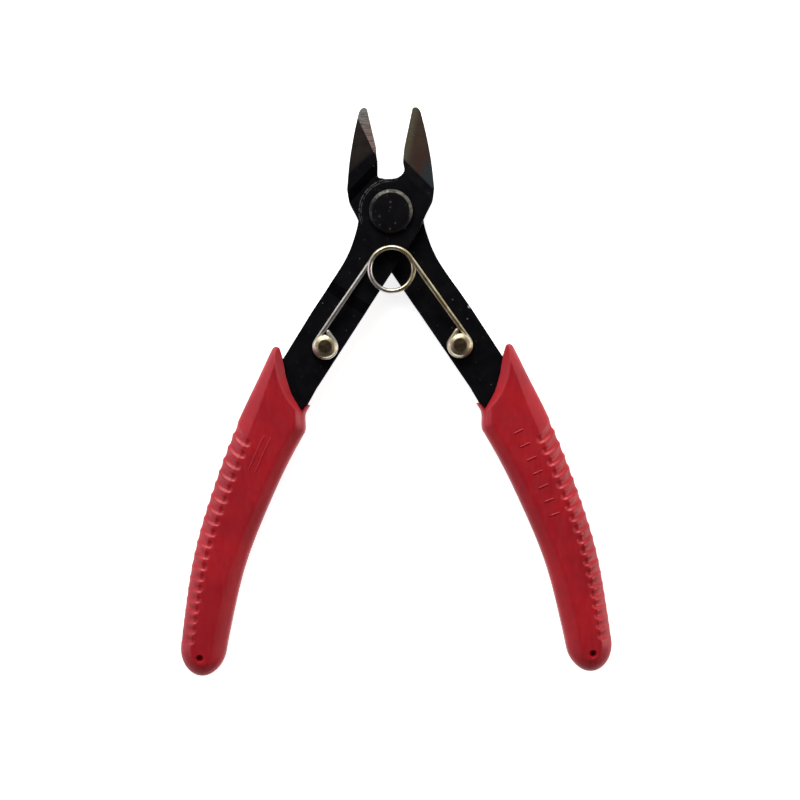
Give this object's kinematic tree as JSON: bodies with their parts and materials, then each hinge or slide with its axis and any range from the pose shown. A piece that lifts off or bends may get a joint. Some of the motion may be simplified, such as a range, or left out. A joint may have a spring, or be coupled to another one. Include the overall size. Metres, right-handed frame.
{
  "type": "flush cutter",
  "caption": "Small flush cutter with lapped blackened steel arms, a riveted pivot, a torsion return spring and ribbed red sleeve grips.",
  "frame": {"origin": "centre of the pivot rivet's rear face, on the pivot axis and on the plane that the tool lies on", "axes": "+Y towards the jaw tips, +X to the right handle seen from the front, +Z along the pivot axis towards the spring side"},
  "size_m": [0.0944, 0.1244, 0.0094],
  "materials": {
    "blackened_steel": "blackened, with ground jaw faces",
    "pivot_steel": "blackened, worn on the chamfer",
    "plated_rivet": "yellowish plating",
    "spring_wire": "drawn wire, satin",
    "red_vinyl": "satin moulded PVC"
  },
  "bodies": {
    "front_arm": {"front_arm": "blackened_steel", "grip_left": "red_vinyl", "spring_rivet_left": "plated_rivet", "pivot_rivet": "pivot_steel"},
    "rear_arm": {"rear_arm": "blackened_steel", "grip_right": "red_vinyl", "spring_rivet_right": "plated_rivet"},
    "spring_left": {"spring_coil": "spring_wire"},
    "spring_right": {"spring_right_leg": "spring_wire"}
  },
  "joints": [
    {"name": "pivot", "type": "hinge", "parent": "front_arm", "child": "rear_arm", "pos_m": [0, 0, 0], "axis": [0, 0, -1], "range_deg": [0, 24.6], "stiffness_Nm_per_rad": 0.8},
    {"name": "spring_left_turn", "type": "hinge", "parent": "front_arm", "child": "spring_left", "pos_m": [-0.01477, -0.02951, 0.00595], "axis": [0, 0, 1], "range_deg": [-0.5, 9]},
    {"name": "spring_wind", "type": "hinge", "parent": "spring_left", "child": "spring_right", "pos_m": [0, -0.01281, 0.0081], "axis": [0, 0, -1], "range_deg": [-0.5, 42]}
  ],
  "couplings": [
    {"joint": "spring_left_turn", "follows": "pivot", "ratio": 0.315},
    {"joint": "spring_wind", "follows": "pivot", "ratio": 1.63}
  ]
}
